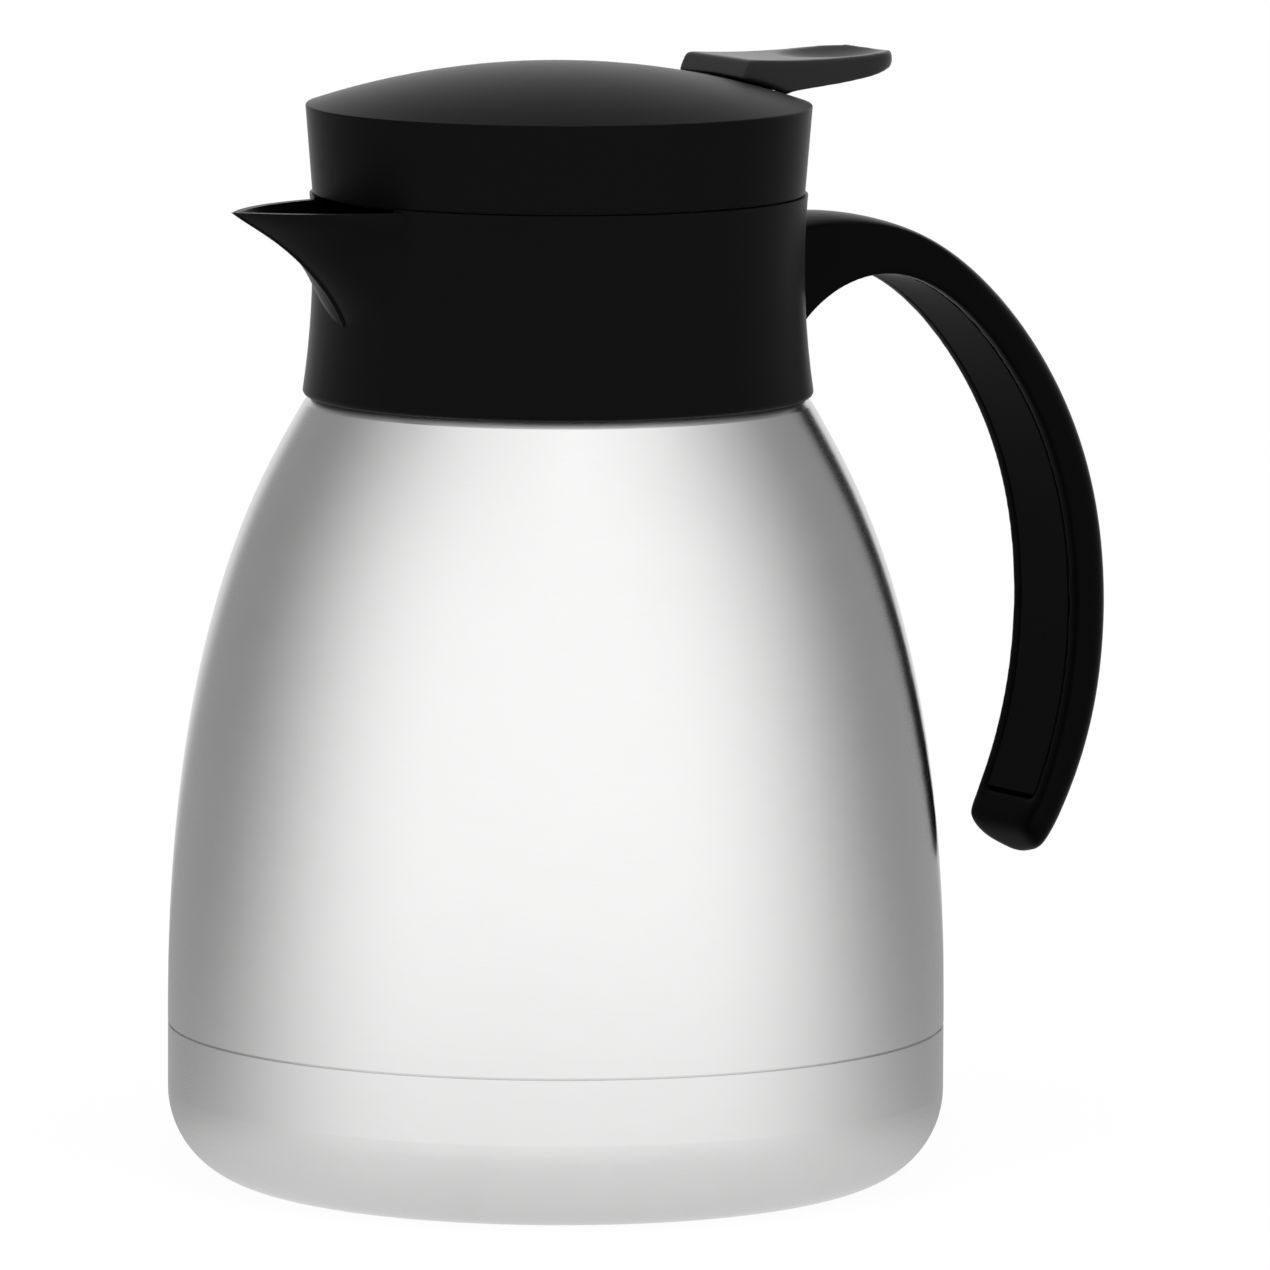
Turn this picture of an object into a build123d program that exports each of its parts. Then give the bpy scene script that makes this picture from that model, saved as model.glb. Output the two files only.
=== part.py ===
"""Thermal carafe: a double-walled steel flask under a moulded collar with a spout and an open
handle, closed by a turn-in stopper lid whose thumb lever lifts a spring-loaded pour valve.

Millimetres. The origin is the centre of the underside of the base, +Z is up, the handle stands
towards +X and the spout towards -X. Profiles of revolution are drawn as (radius, height)."""
from build123d import *
from math import asin, degrees, sqrt
import os

os.makedirs("parts", exist_ok=True)

# Steel body.
body_radius = 75.0
steel = 0.8  # sheet thickness of every steel wall
straight_top = 34.0  # the body is cylindrical below this height
bell_curve = [(2.2, 75.6, 0.12), (9.4, 38.3, 0.29), (17.3, 16.6, 0.45)]  # closed in, below shoulder, slope
shoulder_radius = 48.9  # where the bell meets the collar
shoulder_height = 150.6
shoulder_slope = 0.58
neck_radius = 37.0
neck_height = 16.9  # above the shoulder
neck_bend = 4.0
vacuum_gap = 4.4  # between the outer wall and the flask
flask_mouth_radius = 33.0

# Base.
seam_height = 30.2
seam_gap = 0.45  # the dark line between shell and base cup
joggle_height = 4.0  # the cup's tongue inside the shell
foot_lift = 0.4  # the steel foot stands this far above the pad's face
foot_radius = 61.5
corner_radius = 17.8
pad_radius = 56.5
pad_thickness = 3.6
nub_radius = 4.0  # seal of the evacuation hole
nub_height = 1.4
evacuation_hole = 1.4
getter_radius = 6.0
getter_height = 1.6
getter_offset = 26.0

# Collar.
collar_height = 40.3
collar_foot_radius = 49.6
collar_waist_radius = 47.4
collar_waist_rise = 22.4  # above the shoulder
collar_rim_radius = 47.9
bore_radius = 45.5  # round chamber that the stopper flange closes
bore_draft = 0.2
floor_thickness = 3.0
skirt_wall = 2.4  # threaded skirt round the steel neck
skirt_drop = 4.6
skirt_clearance = 0.2
seat_clearance = 0.15  # collar edge over the steel shoulder
gasket_wall = 4.6
gasket_thickness = 1.5
throat_radius = 31.0
throat_wall = 1.75
throat_depth = 11.0
throat_lip = 5.0
throat_lip_thickness = 1.6

# Spout.
spout_reach = 72.1
spout_drop = 0.55  # the lips lie this far below the collar's rim
spout_half_width = 17.5
spout_foot_rise = 15.9  # above the shoulder
spout_wall = 1.5
spout_nose = 0.6
spout_toe = 0.3
spout_bulge = 0.096  # sagitta of each flank as a share of its chord
spout_root = 46.5  # the flanks start in the middle of the collar wall
keel_mid = (56.4, 28.7)  # reach of the keel half-way up, and its rise above the shoulder
spout_sections = [(0.0, 0.17), (0.1, 0.55), (0.25, 0.94), (0.5, 1.0), (0.75, 1.0), (1.0, 1.0)]
trough_inset = 2.0
trough_root = 43.5

# Handle.
grip_half_width = 12.1
grip_root_crown = 1.2  # rise of the grip's rounded back at the root
grip_crown_growth = 50.0
grip_side = 2.8  # flat edge of the D section
grip_end_side = 3.4  # the same at the open end
grip_edge_round = 0.9
grip_stations = 9
hand_gap_curve = [(46.0, 8.8), (70.0, 22.4), (95.0, 4.7), (111.5, -42.6), (101.2, -87.3)]  # from the shoulder
back_curve = [(46.0, 32.9), (76.0, 30.6), (106.9, 5.3), (122.3, -44.6), (107.1, -94.8)]
root_clearance = 0.05
cover_half_width = 8.5
cover_thickness = 2.2
cover_clearance = 0.15
cover_start = 0.14  # shares of the inner curve's length
cover_end = 0.965
cover_trim = 0.0015  # clearance at the cover's two ends, as a share
hollow_half_width = 6.4
hollow_depth = 7.0
tongue_half_width = 8.6
tongue_thickness = 3.4
tongue_reach = 40.4
tongue_clearance = 0.2
handle_screw_radius = 1.3
handle_screw_head = 2.1
handle_screw_head_height = 1.6
handle_screw_spacing = 10.0
handle_screw_circle = 42.3

# Lid.
lid_gap = 0.3
lid_foot_radius = 47.35
lid_rim_radius = 48.7
lid_wall_height = 16.8
lid_wall = 2.0
dome_rise = 8.0
dome_thickness = 2.2
rim_round = 0.35
flange_thickness = 2.4
flange_clearance = 0.35
flange_drop = 0.9
post_count = 3
post_radius = 3.6
post_circle = 34.5
lid_screw_radius = 1.3
lid_screw_head = 2.6
lid_screw_head_height = 1.2
lid_screw_length = 10.0

# Stopper plug.
plug_clearance = 0.6
plug_wall = 3.0
plug_drop = 11.5  # below the rim of the neck
plate_thickness = 2.4
valve_opening = 15.0
window_rise = 3.0  # above the collar's floor
window_height = 12.0
window_width = 30.0
window_count = 4
groove_height = 3.0
groove_depth = 1.5
groove_rise = 6.6  # above the plug's underside
gasket_fit = 0.1
guide_radius = 6.0
guide_length = 8.0
stem_seal_radius = 4.0
stem_seal_height = 2.0

# Pour valve.
stem_radius = 2.0
stem_fit = 0.08
valve_radius = 18.0
valve_gasket_thickness = 1.5
valve_disc_thickness = 2.0
valve_hub_radius = 3.8
valve_hub_height = 3.0
seat_gap = 0.3
nut_radius = 4.0
nut_height = 2.4
cap_radius = 5.5
cap_height = 2.0
spring_radius = 5.0
spring_wire = 0.5
spring_turns = 5
spring_gap = 0.4

# Thumb lever.
pivot_x = 41.0
pivot_rise = 13.3  # above the lid's lower edge
pin_radius = 1.5
pin_fit = 0.06
hub_radius = 3.2
hub_half_width = 6.0
ear_thickness = 3.4
ear_gap = 0.5
ear_drop = 4.0
fork_drop = 2.6  # below the pivot
fork_radius = 2.0
fork_gap = 0.3
fork_half_width = 6.0
fork_slot = 5.4
arm_half_width = 3.6
arm_shoulder = 8.0
knee_radius = 1.7
leg_front = 37.6
leg_back = 44.4
blade_half_width = 12.5
blade_front = 33.7
blade_lean = 2.1
blade_tail = 72.2
blade_top_curve = [0.0, -0.5, 0.7]  # from the lid's apex: at the front, over the rim and at the tail
blade_underside = [(45.2, -6.15), (60.0, -4.95)]  # reach, and height from the lid's apex
blade_tail_bottom = -2.5
blade_gap = 0.35
blade_edge_round = 0.9
blade_corner_round = 1.6
tail_round = 10.5
dish_centre = 60.0
dish_rim = -0.2
dish_half_length = 11.4
dish_half_width = 9.9
dish_depth = 1.9
dish_overshoot = 1.08
pocket_front = 40.0
pocket_back = 45.9
pocket_depth = 1.1
pocket_clearance = 0.35
slot_clearance = 0.5
slot_travel = 1.8

# Levels that follow from the sizes above.
collar_top = shoulder_height + collar_height
lip_height = collar_top - spout_drop
lid_bottom = collar_top + lid_gap
lid_rim = lid_bottom + lid_wall_height
dome_radius = (lid_rim_radius**2 + dome_rise**2) / (2 * dome_rise)
dome_centre = lid_rim + dome_rise - dome_radius
flange_bottom = lid_bottom - flange_drop
flange_top = flange_bottom + flange_thickness
cup_floor = foot_lift + pad_thickness
neck_top = shoulder_height + neck_height
shoulder_line = shoulder_radius + shoulder_height  # radius + height along the 45 degree shoulder
floor_bottom = neck_top + gasket_thickness
floor_top = floor_bottom + floor_thickness
plug_bottom = neck_top - plug_drop
window_bottom = floor_top + window_rise
groove_bottom = plug_bottom + groove_rise
plug_radius = throat_radius - plug_clearance
seat_top = plug_bottom + plate_thickness
valve_bottom = seat_top + seat_gap
disc_bottom = valve_bottom + valve_gasket_thickness
disc_top = disc_bottom + valve_disc_thickness
guide_bottom = flange_bottom - guide_length
apex = lid_rim + dome_rise
pivot_z = lid_bottom + pivot_rise
fork_height = pivot_z - fork_drop
cap_bottom = fork_height + fork_radius + fork_gap


def dome_height(radius, offset=0.0):
    """Height of the lid's dome at a radius, on a sphere moved outwards by offset."""
    return dome_centre + sqrt((dome_radius + offset) ** 2 - radius**2)


def inward(slope):
    """Direction from the bell's outside into the sheet, where the bell closes in at this slope."""
    return Vector(-1, -slope).normalized()


def bell_outline(inset, bottom, mouth, bend):
    """Outline from the foot of a bell up to the rim of its neck, moved inwards by inset."""
    waist = Vector(body_radius - inset, straight_top)
    haunches = []
    for closed_in, drop, slope in bell_curve:
        haunches.append(Vector(body_radius - closed_in, shoulder_height - drop) + inward(slope) * inset)
    mitre = inward(shoulder_slope) + inward(1)
    shoulder = Vector(shoulder_radius, shoulder_height) + mitre * (2 * inset / mitre.length**2)
    throat = Vector(mouth, shoulder.Y + shoulder.X - mouth)
    with BuildLine() as outline:
        Line((waist.X, bottom), waist)
        Spline(waist, *haunches, shoulder, tangents=[(0, 1), (-shoulder_slope, 1)])
        Line(shoulder, throat)
        Line(throat, (mouth, neck_top))
        fillet(outline.vertices().sort_by_distance((throat.X, throat.Y))[0], bend)
    return outline.line


def bell_wall(inset, bottom, mouth):
    """Closed half section of one sheet-steel bell, from its outside inwards."""
    with BuildLine() as section:
        add(bell_outline(inset, bottom, mouth, neck_bend))
        add(bell_outline(inset + steel, bottom, mouth - steel, neck_bend + steel))
        Line((body_radius - inset, bottom), (body_radius - inset - steel, bottom))
        Line((mouth, neck_top), (mouth - steel, neck_top))
    return section.line


# Outer shell: the visible bell, rolled in to the neck.
with BuildPart() as outer_shell:
    with BuildSketch(Plane.XZ):
        with BuildLine():
            add(bell_wall(0, seam_height + seam_gap, neck_radius))
        make_face()
    revolve(axis=Axis.Z)
outer_shell.part.label = "outer_shell"
export_step(outer_shell.part, "parts/outer_shell.step")

# Base cup: spun cup joined inside the shell, its edge standing off by the seam.
cup_inner = body_radius - steel
corner_height = sqrt(corner_radius**2 - (foot_radius - body_radius + corner_radius) ** 2)
corner_centre = (body_radius - corner_radius, foot_lift + corner_height)
corner_middle = Vector(corner_centre) + Vector(corner_radius, 0).rotate(Axis.Z, -38)
recess_radius = pad_radius + 0.6
with BuildPart() as base_cup:
    with BuildSketch(Plane.XZ):
        with BuildLine():
            Line((body_radius, seam_height), (body_radius, corner_centre[1]))
            ThreePointArc((body_radius, corner_centre[1]), corner_middle, (foot_radius, foot_lift))
            Line((foot_radius, foot_lift), (recess_radius, foot_lift))
            Line((recess_radius, foot_lift), (recess_radius, cup_floor))
            Line((recess_radius, cup_floor), (evacuation_hole, cup_floor))
            offset(amount=steel, side=Side.RIGHT)
        make_face()
        with Locations((cup_inner - steel / 2, seam_height - steel + joggle_height / 2)):
            Rectangle(steel, joggle_height + 2 * steel)
    revolve(axis=Axis.Z)
base_cup.part.label = "base_cup"
export_step(base_cup.part, "parts/base_cup.step")

# Flask: the inner bell and its dished bottom.
flask_radius = body_radius - steel - vacuum_gap
flask_neck = flask_mouth_radius + steel
flask_joint = 22.0
flask_underside = cup_floor + steel + vacuum_gap
flask_corner = 12.0
with BuildPart() as inner_flask:
    with BuildSketch(Plane.XZ):
        with BuildLine():
            add(bell_wall(steel + vacuum_gap, flask_joint, flask_neck))
        make_face()
        with Locations(((flask_neck + neck_radius - steel) / 2, neck_top - steel / 2)):
            Rectangle(neck_radius - steel - flask_neck, steel)
    revolve(axis=Axis.Z)
inner_flask.part.label = "inner_flask"
export_step(inner_flask.part, "parts/inner_flask.step")

with BuildPart() as flask_bottom:
    with BuildSketch(Plane.XZ):
        with BuildLine() as dish:
            Polyline(
                (flask_radius, flask_joint), (flask_radius, flask_underside), (0, flask_underside + 2.0)
            )
            fillet(dish.vertices().group_by(Axis.Y)[0], flask_corner)
            offset(amount=steel, side=Side.RIGHT)
        make_face()
        split(bisect_by=Plane.YZ)
    revolve(axis=Axis.Z)
flask_bottom.part.label = "flask_bottom"
export_step(flask_bottom.part, "parts/flask_bottom.step")

# Evacuation nub and getter inside the vacuum jacket.
with BuildPart() as exhaust_seal:
    with BuildSketch(Plane.XY.offset(cup_floor)):
        Circle(nub_radius)
    extrude(amount=-nub_height)
    fillet(exhaust_seal.edges().group_by(Axis.Z)[0], 0.8)
    with BuildSketch(Plane.XY.offset(cup_floor)):
        Circle(evacuation_hole)
    extrude(amount=steel)
exhaust_seal.part.label = "exhaust_seal"
export_step(exhaust_seal.part, "parts/exhaust_seal.step")

with BuildPart() as getter:
    with BuildSketch(Plane.XY.offset(cup_floor + steel)):
        with Locations((getter_offset, 0)):
            Circle(getter_radius)
    extrude(amount=getter_height)
    chamfer(getter.edges().group_by(Axis.Z)[-1], 0.5)
getter.part.label = "getter"
export_step(getter.part, "parts/getter.step")

# Base pad: soft disc that the carafe stands on.
with BuildPart() as base_pad:
    with BuildSketch():
        Circle(pad_radius)
    extrude(amount=cup_floor)
    chamfer(base_pad.edges().group_by(Axis.Z)[0], 0.5)
    with BuildSketch(Plane.XY.offset(cup_floor)):
        Circle(nub_radius + 0.6)
    extrude(amount=-nub_height - 0.4, mode=Mode.SUBTRACT)
base_pad.part.label = "base_pad"
export_step(base_pad.part, "parts/base_pad.step")

# Neck gasket between flask rim and collar floor.
with BuildPart() as neck_gasket:
    with BuildSketch(Plane.XY.offset(neck_top)):
        Circle(neck_radius)
        Circle(neck_radius - gasket_wall + 0.9, mode=Mode.SUBTRACT)
    extrude(amount=gasket_thickness)
neck_gasket.part.label = "neck_gasket"
export_step(neck_gasket.part, "parts/neck_gasket.step")

# Throat ring: lines the mouth, carries the stopper's thread.
throat_outer = throat_radius + throat_wall
hub_bore = throat_outer + 0.1
with BuildPart() as throat_ring:
    with BuildSketch(Plane.XY.offset(floor_top)):
        Circle(throat_outer + throat_lip)
    extrude(amount=throat_lip_thickness)
    chamfer(throat_ring.edges().group_by(Axis.Z)[-1], 0.5)
    with BuildSketch(Plane.XY.offset(floor_top)):
        Circle(throat_outer)
    extrude(amount=-throat_depth)
    with BuildSketch(Plane.XY.offset(floor_top + throat_lip_thickness)):
        Circle(throat_radius)
    extrude(amount=-throat_depth - throat_lip_thickness, mode=Mode.SUBTRACT)
throat_ring.part.label = "throat_ring"
export_step(throat_ring.part, "parts/throat_ring.step")


# Collar: moulded ring with spout, floor, skirt and handle socket.
def flank_outline(reach, half_width, root):
    """Closed plan of the spout: two bulged flanks from the collar wall to a rounded nose."""
    angle = degrees(asin(half_width / root))
    near = Vector(-root, 0).rotate(Axis.Z, angle)
    far = Vector(near.X, -near.Y)
    nose = Vector(-reach + spout_nose, -spout_nose)
    with BuildLine() as outline:
        SagittaArc(near, nose, spout_bulge * (nose - near).length)
        ThreePointArc(nose, (-reach, 0), (nose.X, -nose.Y))
        SagittaArc((nose.X, -nose.Y), far, spout_bulge * (nose - near).length)
        ThreePointArc(far, (-root, 0), near)
    return outline.line


def collar_side(clearance):
    """Waisted outer side of the collar, from its rim to its foot."""
    with BuildLine() as side:
        Spline(
            (collar_rim_radius + clearance, collar_top),
            (collar_waist_radius + clearance, shoulder_height + collar_waist_rise),
            (collar_foot_radius + clearance, seat_line - collar_foot_radius),
        )
    return side.line


with BuildLine() as keel:
    Spline(
        (spout_root + spout_nose + spout_toe, shoulder_height + spout_foot_rise),
        (keel_mid[0], shoulder_height + keel_mid[1]),
        (spout_reach, lip_height),
        tangents=[(0.42, 1), (1, 0.62)],
    )

tongue_level = floor_bottom - tongue_thickness / 2 - tongue_clearance
skirt_inner = neck_radius + skirt_clearance
skirt_outer = skirt_inner + skirt_wall
socket_wall = bore_radius - 0.6
seat_line = shoulder_line + seat_clearance * sqrt(2)
with BuildPart() as collar:
    with BuildSketch(Plane.XZ):
        with BuildLine() as wall:
            add(collar_side(0))
            Polyline(
                (collar_foot_radius, seat_line - collar_foot_radius),
                (socket_wall, seat_line - socket_wall),
                (socket_wall, floor_bottom),
                (skirt_outer, floor_bottom),
                (skirt_outer, floor_bottom - skirt_drop),
                (skirt_inner, floor_bottom - skirt_drop),
                (skirt_inner, floor_bottom),
                (hub_bore, floor_bottom),
                (hub_bore, floor_top),
                (bore_radius - bore_draft, floor_top),
                (bore_radius, collar_top),
                (collar_rim_radius, collar_top),
            )
        make_face()
    revolve(axis=Axis.Z)
    fillet(collar.edges().filter_by(GeomType.CIRCLE).sort_by(SortBy.RADIUS)[-1], 1.0)
    # the spout: plan sections up the keel, then the open trough inside it
    for share, spread in spout_sections:
        point = keel.line @ share
        with BuildSketch(Plane.XY.offset(point.Y)):
            with BuildLine():
                add(flank_outline(point.X, spout_half_width * spread, spout_root))
            make_face()
    loft()
    for share, spread in spout_sections[2:]:
        point = keel.line @ share
        inside = spout_half_width * spread - spout_wall
        with BuildSketch(Plane.XY.offset(point.Y)):
            with BuildLine():
                add(flank_outline(point.X - trough_inset, inside, trough_root))
            make_face()
    loft(mode=Mode.SUBTRACT)
    with BuildSketch(Plane.XY.offset(lip_height)):
        with BuildLine():
            add(flank_outline(spout_reach - trough_inset, spout_half_width - spout_wall, trough_root))
        make_face()
    extrude(amount=spout_drop, mode=Mode.SUBTRACT)
    # pocket for the handle's tongue in the outer wall, pilot holes in the floor above it
    with BuildSketch(Plane.YZ.offset(tongue_reach)):
        with Locations((0, tongue_level)):
            Rectangle(
                2 * (tongue_half_width + tongue_clearance), tongue_thickness + 2 * tongue_clearance
            )
    extrude(amount=collar_foot_radius - tongue_reach, mode=Mode.SUBTRACT)
    with BuildSketch(Plane.XY.offset(floor_bottom)):
        with Locations((handle_screw_circle, 0)):
            with GridLocations(0, handle_screw_spacing, 1, 2):
                Circle(handle_screw_radius)
    extrude(amount=floor_thickness - 1.0, mode=Mode.SUBTRACT)
collar.part.label = "collar"
export_step(collar.part, "parts/collar.step")

# Handle: D-section grip lofted between the hand side and the back.
with BuildLine() as hand_side:
    Spline([(reach, shoulder_height + rise) for reach, rise in hand_gap_curve])
with BuildLine() as back_side:
    Spline([(reach, shoulder_height + rise) for reach, rise in back_curve])


def grip_section(share):
    """Plane and size of the D section at a share of the grip's length."""
    inner = hand_side.line @ share
    outer = back_side.line @ share
    start = Vector(inner.X, 0, inner.Y)
    across = Vector(outer.X, 0, outer.Y) - start
    plane = Plane(origin=start, x_dir=across, z_dir=across.cross(Vector(0, 1, 0)))
    return plane, across.length


with BuildPart() as grip_blank:
    for station in range(grip_stations):
        share = station / (grip_stations - 1)
        plane, thickness = grip_section(share)
        flat = grip_side + (grip_end_side - grip_side) * share**4
        crown = min(grip_root_crown + grip_crown_growth * share**2, thickness - flat)
        with BuildSketch(plane) as d_section:
            with BuildLine():
                side = thickness - crown
                Line((side, grip_half_width), (0, grip_half_width))
                Line((0, grip_half_width), (0, -grip_half_width))
                Line((0, -grip_half_width), (side, -grip_half_width))
                EllipticalCenterArc((side, 0), crown, grip_half_width, start_angle=-90, arc_size=180)
            make_face()
            fillet(d_section.vertices().sort_by(Axis.X)[:2], grip_edge_round)
    loft()
    with BuildSketch(Plane.XZ):
        with BuildLine():
            add(collar_side(root_clearance))
            Polyline(
                (collar_foot_radius + root_clearance, seat_line - collar_foot_radius),
                (0, seat_line - collar_foot_radius),
                (0, collar_top),
                (collar_rim_radius + root_clearance, collar_top),
            )
        make_face()
    revolve(axis=Axis.Z, mode=Mode.SUBTRACT)


def hand_side_band(depth, half_width, trim=0.0):
    """Strip of the grip behind the hand side, where the cover and the hollow lie."""
    surface = []
    floor = []
    for station in range(grip_stations):
        share = cover_start + trim + (cover_end - cover_start - 2 * trim) * station / (grip_stations - 1)
        plane, thickness = grip_section(share)
        outside = plane.origin - plane.x_dir
        inside = plane.origin + plane.x_dir * depth
        surface.append((outside.X, outside.Z))
        floor.append((inside.X, inside.Z))
    with BuildPart() as band:
        with BuildSketch(Plane.XZ):
            with BuildLine():
                Spline(surface)
                Spline(floor)
                Line(surface[0], floor[0])
                Line(surface[-1], floor[-1])
            make_face()
        extrude(amount=half_width, both=True)
    return band.part


cover_seat = hand_side_band(cover_thickness, cover_half_width)
with BuildPart() as handle_grip:
    add(grip_blank.part)
    add(cover_seat, mode=Mode.SUBTRACT)
    add(hand_side_band(hollow_depth, hollow_half_width), mode=Mode.SUBTRACT)
    # tongue through the collar wall, held by two screws from below
    with BuildSketch(Plane.YZ.offset(tongue_reach)):
        with Locations((0, tongue_level)):
            Rectangle(2 * tongue_half_width, tongue_thickness)
    extrude(amount=collar_waist_radius + 1.0 - tongue_reach)
    with BuildSketch(Plane.XY.offset(tongue_level - tongue_thickness / 2)):
        with Locations((handle_screw_circle, 0)):
            with GridLocations(0, handle_screw_spacing, 1, 2):
                Circle(handle_screw_radius)
    extrude(amount=tongue_thickness, mode=Mode.SUBTRACT)
handle_grip.part.label = "handle_grip"
export_step(handle_grip.part, "parts/handle_grip.step")

with BuildPart() as handle_cover:
    add(grip_blank.part)
    cover_strip = hand_side_band(cover_thickness, cover_half_width - cover_clearance, cover_trim)
    add(cover_strip, mode=Mode.INTERSECT)
handle_cover.part.label = "handle_cover"
export_step(handle_cover.part, "parts/handle_cover.step")

with BuildPart() as handle_screws:
    with BuildSketch(Plane.XY.offset(tongue_level - tongue_thickness / 2)):
        with Locations((handle_screw_circle, 0)):
            with GridLocations(0, handle_screw_spacing, 1, 2):
                Circle(handle_screw_head)
    extrude(amount=-handle_screw_head_height)
    with BuildSketch(Plane.XY.offset(tongue_level - tongue_thickness / 2)):
        with Locations((handle_screw_circle, 0)):
            with GridLocations(0, handle_screw_spacing, 1, 2):
                Circle(handle_screw_radius)
    extrude(amount=tongue_thickness + tongue_clearance + floor_thickness - 1.2)
handle_screws.part.label = "handle_screws"
export_step(handle_screws.part, "parts/handle_screws.step")

# Lid cap: dome and tapered grip wall, with posts, lever ears, slot and pocket.
lid_inner_foot = lid_foot_radius - lid_wall
lid_inner_rim = lid_rim_radius - lid_wall
ear_inner = hub_half_width + ear_gap
ear_outer = ear_inner + ear_thickness
ear_back = sqrt(lid_inner_foot**2 - ear_outer**2) - 0.5
ear_front = 2 * pivot_x - ear_back
post_turn = 180 / post_count


def lid_outline(foot, foot_height, rim, rim_height, top):
    """Half section of the lid's outer or inner form: tapered side and shallow dome."""
    with BuildLine() as half:
        Polyline((0, top), (0, foot_height), (foot, foot_height), (rim, rim_height))
        RadiusArc((0, top), (rim, rim_height), dome_radius)
    return half.line


with BuildPart() as lid_blank:
    with BuildSketch(Plane.XZ) as lid_half:
        with BuildLine():
            add(lid_outline(lid_foot_radius, lid_bottom, lid_rim_radius, lid_rim, lid_rim + dome_rise))
        make_face()
        fillet(lid_half.vertices().sort_by(Axis.X)[-1], rim_round)
    revolve(axis=Axis.Z)

with BuildPart() as lid_cap:
    add(lid_blank.part)
    with BuildSketch(Plane.XZ):
        with BuildLine():
            inside_rim = lid_rim - dome_thickness
            add(lid_outline(lid_inner_foot, lid_bottom, lid_inner_rim, inside_rim, inside_rim + dome_rise))
        make_face()
    revolve(axis=Axis.Z, mode=Mode.SUBTRACT)

with BuildPart() as lid_inserts:
    with BuildSketch(Plane.XY.offset(flange_top)):
        with PolarLocations(post_circle, post_count, start_angle=post_turn):
            Circle(post_radius)
    extrude(amount=dome_height(post_circle) - dome_thickness / 2 - flange_top)
    with BuildSketch(Plane.XY.offset(pivot_z - ear_drop)):
        with Locations(((ear_front + ear_back) / 2, 0)):
            with GridLocations(0, ear_inner + ear_outer, 1, 2):
                Rectangle(ear_back - ear_front, ear_thickness)
    extrude(amount=dome_height(pivot_x) - dome_thickness / 2 - pivot_z + ear_drop)
    with BuildSketch(Plane.XY.offset(flange_top)):
        with PolarLocations(post_circle, post_count, start_angle=post_turn):
            Circle(lid_screw_radius)
    extrude(amount=lid_screw_length - flange_thickness + 0.4, mode=Mode.SUBTRACT)

with BuildPart() as blade_pocket:
    with BuildSketch(Plane.XY.offset(pivot_z)):
        with Locations(((pocket_front + pocket_back) / 2, 0)):
            Rectangle(pocket_back - pocket_front, 2 * (blade_half_width + pocket_clearance))
    extrude(amount=lid_rim + dome_rise - pivot_z)
    with Locations((0, 0, dome_centre)):
        Sphere(dome_radius - pocket_depth, mode=Mode.SUBTRACT)

with BuildPart() as lid_cap_finished:
    add(lid_cap.part)
    add(lid_inserts.part)
    add(blade_pocket.part, mode=Mode.SUBTRACT)
    slot_front = leg_front - slot_clearance
    slot_back = leg_back + slot_travel
    with BuildSketch(Plane.XY.offset(pivot_z)):
        with Locations(((slot_front + slot_back) / 2, 0)):
            Rectangle(slot_back - slot_front, 2 * ear_inner)
    extrude(amount=lid_rim + dome_rise - pivot_z, mode=Mode.SUBTRACT)
    with BuildSketch(Plane.XZ.offset(-ear_outer)):
        with Locations((pivot_x, pivot_z)):
            Circle(pin_radius)
    extrude(amount=2 * ear_outer, mode=Mode.SUBTRACT)
lid_cap_finished.part.label = "lid_cap"
export_step(lid_cap_finished.part, "parts/lid_cap.step")

with BuildPart() as lever_pin:
    with BuildSketch(Plane.XZ.offset(-ear_outer)):
        with Locations((pivot_x, pivot_z)):
            Circle(pin_radius)
    extrude(amount=2 * ear_outer)
lever_pin.part.label = "lever_pin"
export_step(lever_pin.part, "parts/lever_pin.step")

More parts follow.
